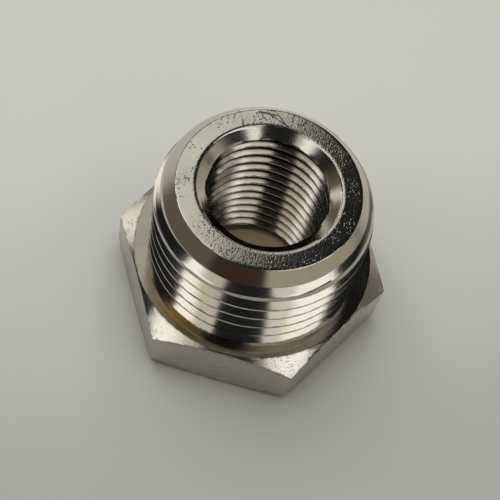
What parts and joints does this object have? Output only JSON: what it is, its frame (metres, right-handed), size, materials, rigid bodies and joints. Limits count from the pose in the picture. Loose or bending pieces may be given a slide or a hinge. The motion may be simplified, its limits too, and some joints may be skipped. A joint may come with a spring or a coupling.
{
  "type": "hex bushing",
  "caption": "Hexagon reducing bushing that joins a small threaded pipe to a larger threaded port, with a bore open from end to end.",
  "frame": {"origin": "middle of the flat underside of the hexagon", "axes": "+Z along the bore axis from the hexagon to the threaded end, +X through a corner of the hexagon"},
  "size_m": [0.0276, 0.024, 0.0185],
  "materials": {
    "nickel_plated_brass": "brass bar turned bright, then nickel plated, with light tool marks, scratches and small burrs"
  },
  "bodies": {
    "root": {"bushing_body": "nickel_plated_brass"}
  },
  "joints": []
}
